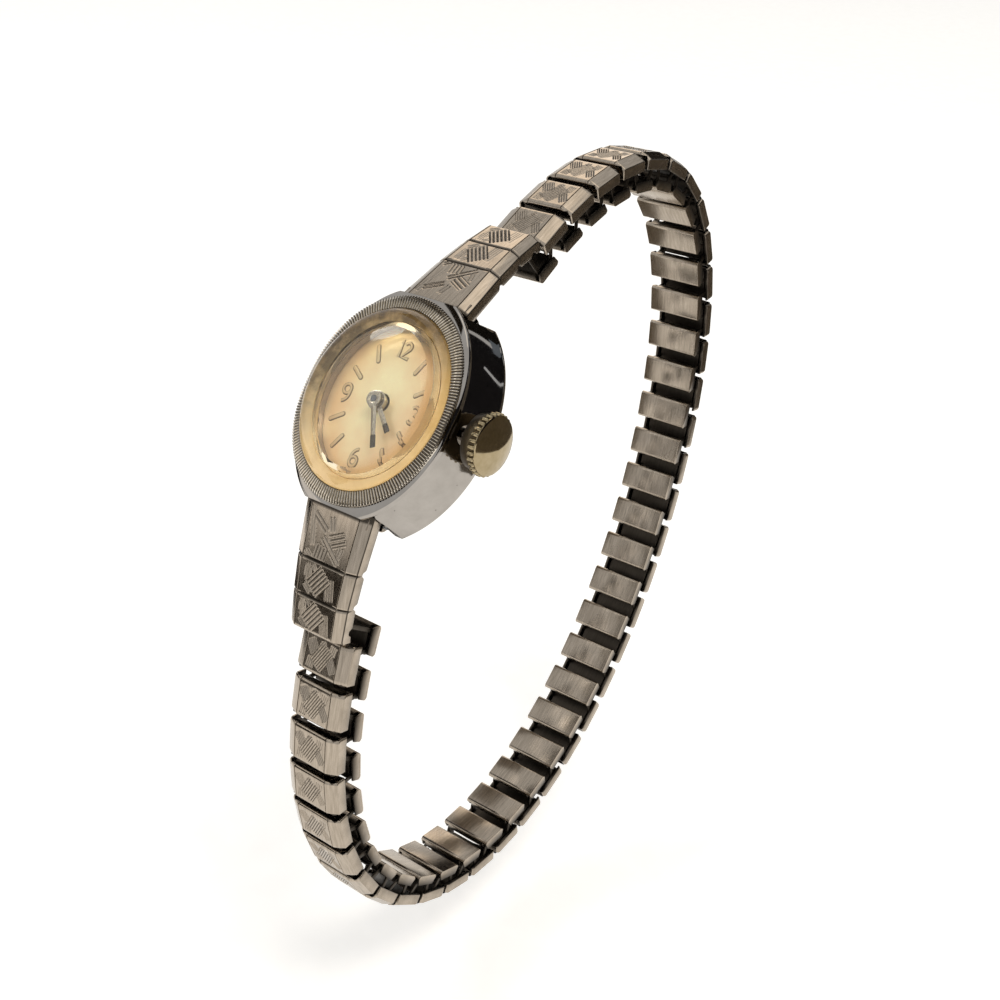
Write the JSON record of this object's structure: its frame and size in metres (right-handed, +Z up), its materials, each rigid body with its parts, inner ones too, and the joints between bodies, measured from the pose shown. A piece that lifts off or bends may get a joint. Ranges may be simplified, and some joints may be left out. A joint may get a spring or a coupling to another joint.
{
  "type": "bracelet watch",
  "caption": "Small oval wristwatch with a fluted bezel, raised clear top, side crown and a spring-loaded expansion bracelet of hollow links between tapered end shells.",
  "frame": {"origin": "centre of the outer flat face of the case back", "axes": "+X from the case centre towards the crown (3 o clock), +Z up with 12 o clock uppermost; the dial faces -Y and upwards, leaned back by 41 degrees"},
  "size_m": [0.0171, 0.0516, 0.0602],
  "materials": {
    "case_chrome": "polished",
    "bezel_steel": "finely fluted, bright",
    "crystal": "clear acrylic, slightly yellowed",
    "dial": "satin champagne",
    "back_steel": "satin",
    "spring_steel": "plain",
    "band_steel": "engraved, polished flanks",
    "crown_gold": "polished",
    "hand_steel": "satin",
    "movement_gilt": "grained",
    "wheel_brass": "polished"
  },
  "bodies": {
    "case": {"case_middle": "case_chrome", "bezel": "bezel_steel", "crystal": "crystal", "dial": "dial", "case_back": "back_steel", "spring_bars": "spring_steel", "main_plate": "movement_gilt", "train_bridges": "movement_gilt"},
    "end_shell_12": {"end_shell_12": "band_steel"},
    "end_shell_6": {"end_shell_6": "band_steel"},
    "stem_slide": {"setting_lever": "spring_steel"},
    "crown": {"crown": "crown_gold", "winding_stem": "spring_steel"},
    "hour_hand": {"hour_hand": "hand_steel"},
    "minute_hand": {"minute_hand": "hand_steel"},
    "barrel": {"barrel": "wheel_brass"},
    "centre_wheel": {"centre_wheel": "wheel_brass"},
    "third_wheel": {"third_wheel": "wheel_brass"},
    "fourth_wheel": {"fourth_wheel": "wheel_brass"},
    "escape_wheel": {"escape_wheel": "spring_steel"},
    "pallet_fork": {"pallet_fork": "spring_steel"},
    "balance": {"balance_wheel": "wheel_brass"},
    "link_01": {"link_01": "band_steel"},
    "link_02": {"link_02": "band_steel"},
    "link_03": {"link_03": "band_steel"},
    "link_04": {"link_04": "band_steel"},
    "link_05": {"link_05": "band_steel"},
    "link_06": {"link_06": "band_steel"},
    "link_07": {"link_07": "band_steel"},
    "link_08": {"link_08": "band_steel"},
    "link_09": {"link_09": "band_steel"},
    "link_10": {"link_10": "band_steel"},
    "link_11": {"link_11": "band_steel"},
    "link_12": {"link_12": "band_steel"},
    "link_13": {"link_13": "band_steel"},
    "link_14": {"link_14": "band_steel"},
    "link_15": {"link_15": "band_steel"},
    "link_16": {"link_16": "band_steel"},
    "link_17": {"link_17": "band_steel"},
    "link_18": {"link_18": "band_steel"},
    "link_19": {"link_19": "band_steel"},
    "link_20": {"link_20": "band_steel"},
    "link_21": {"link_21": "band_steel"},
    "link_22": {"link_22": "band_steel"},
    "link_23": {"link_23": "band_steel"},
    "link_24": {"link_24": "band_steel"},
    "link_25": {"link_25": "band_steel"},
    "link_26": {"link_26": "band_steel"},
    "link_27": {"link_27": "band_steel"},
    "link_28": {"link_28": "band_steel"},
    "link_29": {"link_29": "band_steel"},
    "link_30": {"link_30": "band_steel"},
    "link_31": {"link_31": "band_steel"},
    "link_32": {"link_32": "band_steel"},
    "link_33": {"link_33": "band_steel"},
    "link_34": {"link_34": "band_steel"},
    "link_35": {"link_35": "band_steel"},
    "link_36": {"link_36": "band_steel"},
    "link_37": {"link_37": "band_steel"},
    "link_38": {"link_38": "band_steel"}
  },
  "joints": [
    {"name": "band_stretch", "type": "slide", "parent": "case", "child": "link_01", "axis": [0, 0.8809, 0.4732], "range_m": [-0.00026746, 0.00066865], "stiffness_N_per_m": 20000},
    {"name": "link_02_slide", "type": "slide", "parent": "link_01", "child": "link_02", "axis": [0, 0.9233, 0.384], "range_m": [-0.00026589, 0.00066472]},
    {"name": "link_03_slide", "type": "slide", "parent": "link_02", "child": "link_03", "axis": [0, 0.9627, 0.2705], "range_m": [-0.00026295, 0.00065739]},
    {"name": "link_04_slide", "type": "slide", "parent": "link_03", "child": "link_04", "axis": [0, 0.9927, 0.1202], "range_m": [-0.0002579, 0.00064474]},
    {"name": "link_05_slide", "type": "slide", "parent": "link_04", "child": "link_05", "axis": [0, 0.9966, -0.0824], "range_m": [-0.00024914, 0.00062285]},
    {"name": "link_06_slide", "type": "slide", "parent": "link_05", "child": "link_06", "axis": [0, 0.9403, -0.3404], "range_m": [-0.00023476, 0.00058689]},
    {"name": "link_07_slide", "type": "slide", "parent": "link_06", "child": "link_07", "axis": [0, 0.7922, -0.6102], "range_m": [-0.000215, 0.0005375]},
    {"name": "link_08_slide", "type": "slide", "parent": "link_07", "child": "link_08", "axis": [0, 0.5794, -0.8151], "range_m": [-0.00019469, 0.00048673]},
    {"name": "link_09_slide", "type": "slide", "parent": "link_08", "child": "link_09", "axis": [0, 0.3692, -0.9294], "range_m": [-0.00017852, 0.00044631]},
    {"name": "link_10_slide", "type": "slide", "parent": "link_09", "child": "link_10", "axis": [0, 0.1957, -0.9807], "range_m": [-0.00016709, 0.00041772]},
    {"name": "link_11_slide", "type": "slide", "parent": "link_10", "child": "link_11", "axis": [0, 0.0586, -0.9983], "range_m": [-0.00015906, 0.00039766]},
    {"name": "link_12_slide", "type": "slide", "parent": "link_11", "child": "link_12", "axis": [0, -0.0517, -0.9987], "range_m": [-0.00015321, 0.00038303]},
    {"name": "link_13_slide", "type": "slide", "parent": "link_12", "child": "link_13", "axis": [0, -0.144, -0.9896], "range_m": [-0.00014874, 0.00037184]},
    {"name": "link_14_slide", "type": "slide", "parent": "link_13", "child": "link_14", "axis": [0, -0.2242, -0.9746], "range_m": [-0.00014516, 0.0003629]},
    {"name": "link_15_slide", "type": "slide", "parent": "link_14", "child": "link_15", "axis": [0, -0.2965, -0.955], "range_m": [-0.0001422, 0.0003555]},
    {"name": "link_16_slide", "type": "slide", "parent": "link_15", "child": "link_16", "axis": [0, -0.3639, -0.9314], "range_m": [-0.00013968, 0.0003492]},
    {"name": "link_17_slide", "type": "slide", "parent": "link_16", "child": "link_17", "axis": [0, -0.4284, -0.9036], "range_m": [-0.0001375, 0.00034376]},
    {"name": "link_18_slide", "type": "slide", "parent": "link_17", "child": "link_18", "axis": [0, -0.4914, -0.8709], "range_m": [-0.00013562, 0.00033904]},
    {"name": "link_19_slide", "type": "slide", "parent": "link_18", "child": "link_19", "axis": [0, -0.554, -0.8325], "range_m": [-0.000134, 0.00033501]},
    {"name": "link_38_slide", "type": "slide", "parent": "case", "child": "link_38", "axis": [0, -0.3947, -0.9188], "range_m": [-0.00026159, 0.00065397]},
    {"name": "link_37_slide", "type": "slide", "parent": "link_38", "child": "link_37", "axis": [0, -0.3055, -0.9522], "range_m": [-0.00025835, 0.00064587]},
    {"name": "link_36_slide", "type": "slide", "parent": "link_37", "child": "link_36", "axis": [0, -0.2026, -0.9793], "range_m": [-0.00025411, 0.00063527]},
    {"name": "link_35_slide", "type": "slide", "parent": "link_36", "child": "link_35", "axis": [0, -0.0838, -0.9965], "range_m": [-0.00024859, 0.00062146]},
    {"name": "link_34_slide", "type": "slide", "parent": "link_35", "child": "link_34", "axis": [0, 0.0528, -0.9986], "range_m": [-0.00024146, 0.00060365]},
    {"name": "link_33_slide", "type": "slide", "parent": "link_34", "child": "link_33", "axis": [0, 0.2072, -0.9783], "range_m": [-0.0002324, 0.000581]},
    {"name": "link_32_slide", "type": "slide", "parent": "link_33", "child": "link_32", "axis": [0, 0.3759, -0.9267], "range_m": [-0.0002212, 0.00055299]},
    {"name": "link_31_slide", "type": "slide", "parent": "link_32", "child": "link_31", "axis": [0, 0.5501, -0.8351], "range_m": [-0.00020795, 0.00051986]},
    {"name": "link_30_slide", "type": "slide", "parent": "link_31", "child": "link_30", "axis": [0, 0.7145, -0.6997], "range_m": [-0.00019327, 0.00048316]},
    {"name": "link_29_slide", "type": "slide", "parent": "link_30", "child": "link_29", "axis": [0, 0.8509, -0.5253], "range_m": [-0.00017834, 0.00044585]},
    {"name": "link_28_slide", "type": "slide", "parent": "link_29", "child": "link_28", "axis": [0, 0.945, -0.327], "range_m": [-0.0001646, 0.00041149]},
    {"name": "link_27_slide", "type": "slide", "parent": "link_28", "child": "link_27", "axis": [0, 0.9922, -0.1246], "range_m": [-0.00015315, 0.00038289]},
    {"name": "link_26_slide", "type": "slide", "parent": "link_27", "child": "link_26", "axis": [0, 0.9979, 0.065], "range_m": [-0.00014447, 0.00036118]},
    {"name": "link_25_slide", "type": "slide", "parent": "link_26", "child": "link_25", "axis": [0, 0.9727, 0.2319], "range_m": [-0.00013842, 0.00034606]},
    {"name": "link_24_slide", "type": "slide", "parent": "link_25", "child": "link_24", "axis": [0, 0.9276, 0.3735], "range_m": [-0.00013455, 0.00033637]},
    {"name": "link_23_slide", "type": "slide", "parent": "link_24", "child": "link_23", "axis": [0, 0.8712, 0.4909], "range_m": [-0.00013234, 0.00033085]},
    {"name": "link_22_slide", "type": "slide", "parent": "link_23", "child": "link_22", "axis": [0, 0.8092, 0.5875], "range_m": [-0.00013134, 0.00032836]},
    {"name": "link_21_slide", "type": "slide", "parent": "link_22", "child": "link_21", "axis": [0, 0.7451, 0.6669], "range_m": [-0.00013122, 0.00032806]},
    {"name": "link_20_slide", "type": "slide", "parent": "link_21", "child": "link_20", "axis": [0, 0.6808, 0.7325], "range_m": [-0.00013172, 0.00032931]},
    {"name": "end_shell_12_swing", "type": "hinge", "parent": "case", "child": "end_shell_12", "pos_m": [0, 0.00339, 0.00693], "axis": [1, 0, 0], "range_deg": [-2, 2]},
    {"name": "end_shell_6_swing", "type": "hinge", "parent": "case", "child": "end_shell_6", "pos_m": [0, -0.0064, -0.0043], "axis": [1, 0, 0], "range_deg": [-2, 2]},
    {"name": "crown_pull", "type": "slide", "parent": "case", "child": "stem_slide", "axis": [1, 0, 0], "range_m": [0, 0.0008]},
    {"name": "crown_turn", "type": "hinge", "parent": "stem_slide", "child": "crown", "pos_m": [0.007, -0.00207, 0.00181], "axis": [1, 0, 0], "continuous": true},
    {"name": "minute_turn", "type": "hinge", "parent": "case", "child": "minute_hand", "pos_m": [0, -0.00301, 0.00263], "axis": [0, 0.7536, -0.6574], "continuous": true},
    {"name": "hour_turn", "type": "hinge", "parent": "case", "child": "hour_hand", "pos_m": [0, -0.00301, 0.00263], "axis": [0, 0.7536, -0.6574], "continuous": true},
    {"name": "fourth_wheel_turn", "type": "hinge", "parent": "case", "child": "fourth_wheel", "pos_m": [-0.0015, -0.00305, -0.00045], "axis": [0, 0.7536, -0.6574], "continuous": true},
    {"name": "third_wheel_turn", "type": "hinge", "parent": "case", "child": "third_wheel", "pos_m": [-0.00208, -0.002, 0.00075], "axis": [0, 0.7536, -0.6574], "continuous": true},
    {"name": "centre_wheel_turn", "type": "hinge", "parent": "case", "child": "centre_wheel", "pos_m": [0, -0.00151, 0.00131], "axis": [0, 0.7536, -0.6574], "continuous": true},
    {"name": "barrel_turn", "type": "hinge", "parent": "case", "child": "barrel", "pos_m": [0.00068, 0.00016, 0.00322], "axis": [0, 0.7536, -0.6574], "continuous": true},
    {"name": "escape_wheel_turn", "type": "hinge", "parent": "case", "child": "escape_wheel", "pos_m": [-0.00009, -0.00339, -0.00084], "axis": [0, 0.7536, -0.6574], "continuous": true},
    {"name": "pallet_rock", "type": "hinge", "parent": "case", "child": "pallet_fork", "pos_m": [0.00094, -0.00335, -0.0008], "axis": [0, -0.7536, 0.6574], "range_deg": [-5, 5]},
    {"name": "balance_swing", "type": "hinge", "parent": "case", "child": "balance", "pos_m": [0.00199, -0.00322, -0.00064], "axis": [0, -0.7536, 0.6574], "range_deg": [-270, 270], "stiffness_Nm_per_rad": 0.000000003}
  ],
  "couplings": [
    {"joint": "link_02_slide", "follows": "band_stretch", "ratio": 0.99363},
    {"joint": "link_03_slide", "follows": "band_stretch", "ratio": 0.98267},
    {"joint": "link_04_slide", "follows": "band_stretch", "ratio": 0.96377},
    {"joint": "link_05_slide", "follows": "band_stretch", "ratio": 0.93104},
    {"joint": "link_06_slide", "follows": "band_stretch", "ratio": 0.87728},
    {"joint": "link_07_slide", "follows": "band_stretch", "ratio": 0.80346},
    {"joint": "link_08_slide", "follows": "band_stretch", "ratio": 0.72756},
    {"joint": "link_09_slide", "follows": "band_stretch", "ratio": 0.66715},
    {"joint": "link_10_slide", "follows": "band_stretch", "ratio": 0.62441},
    {"joint": "link_11_slide", "follows": "band_stretch", "ratio": 0.59442},
    {"joint": "link_12_slide", "follows": "band_stretch", "ratio": 0.57255},
    {"joint": "link_13_slide", "follows": "band_stretch", "ratio": 0.55583},
    {"joint": "link_14_slide", "follows": "band_stretch", "ratio": 0.54247},
    {"joint": "link_15_slide", "follows": "band_stretch", "ratio": 0.5314},
    {"joint": "link_16_slide", "follows": "band_stretch", "ratio": 0.52199},
    {"joint": "link_17_slide", "follows": "band_stretch", "ratio": 0.51385},
    {"joint": "link_18_slide", "follows": "band_stretch", "ratio": 0.5068},
    {"joint": "link_19_slide", "follows": "band_stretch", "ratio": 0.50077},
    {"joint": "link_38_slide", "follows": "band_stretch", "ratio": 0.97756},
    {"joint": "link_37_slide", "follows": "band_stretch", "ratio": 0.96545},
    {"joint": "link_36_slide", "follows": "band_stretch", "ratio": 0.9496},
    {"joint": "link_35_slide", "follows": "band_stretch", "ratio": 0.92897},
    {"joint": "link_34_slide", "follows": "band_stretch", "ratio": 0.90233},
    {"joint": "link_33_slide", "follows": "band_stretch", "ratio": 0.86848},
    {"joint": "link_32_slide", "follows": "band_stretch", "ratio": 0.82662},
    {"joint": "link_31_slide", "follows": "band_stretch", "ratio": 0.7771},
    {"joint": "link_30_slide", "follows": "band_stretch", "ratio": 0.72223},
    {"joint": "link_29_slide", "follows": "band_stretch", "ratio": 0.66646},
    {"joint": "link_28_slide", "follows": "band_stretch", "ratio": 0.6151},
    {"joint": "link_27_slide", "follows": "band_stretch", "ratio": 0.57234},
    {"joint": "link_26_slide", "follows": "band_stretch", "ratio": 0.5399},
    {"joint": "link_25_slide", "follows": "band_stretch", "ratio": 0.51728},
    {"joint": "link_24_slide", "follows": "band_stretch", "ratio": 0.50281},
    {"joint": "link_23_slide", "follows": "band_stretch", "ratio": 0.49455},
    {"joint": "link_22_slide", "follows": "band_stretch", "ratio": 0.49084},
    {"joint": "link_21_slide", "follows": "band_stretch", "ratio": 0.49038},
    {"joint": "link_20_slide", "follows": "band_stretch", "ratio": 0.49226},
    {"joint": "hour_turn", "follows": "minute_turn", "ratio": 0.083333},
    {"joint": "third_wheel_turn", "follows": "fourth_wheel_turn", "ratio": -0.13333},
    {"joint": "centre_wheel_turn", "follows": "fourth_wheel_turn", "ratio": 0.016667},
    {"joint": "barrel_turn", "follows": "fourth_wheel_turn", "ratio": -0.002381},
    {"joint": "escape_wheel_turn", "follows": "fourth_wheel_turn", "ratio": -10}
  ]
}
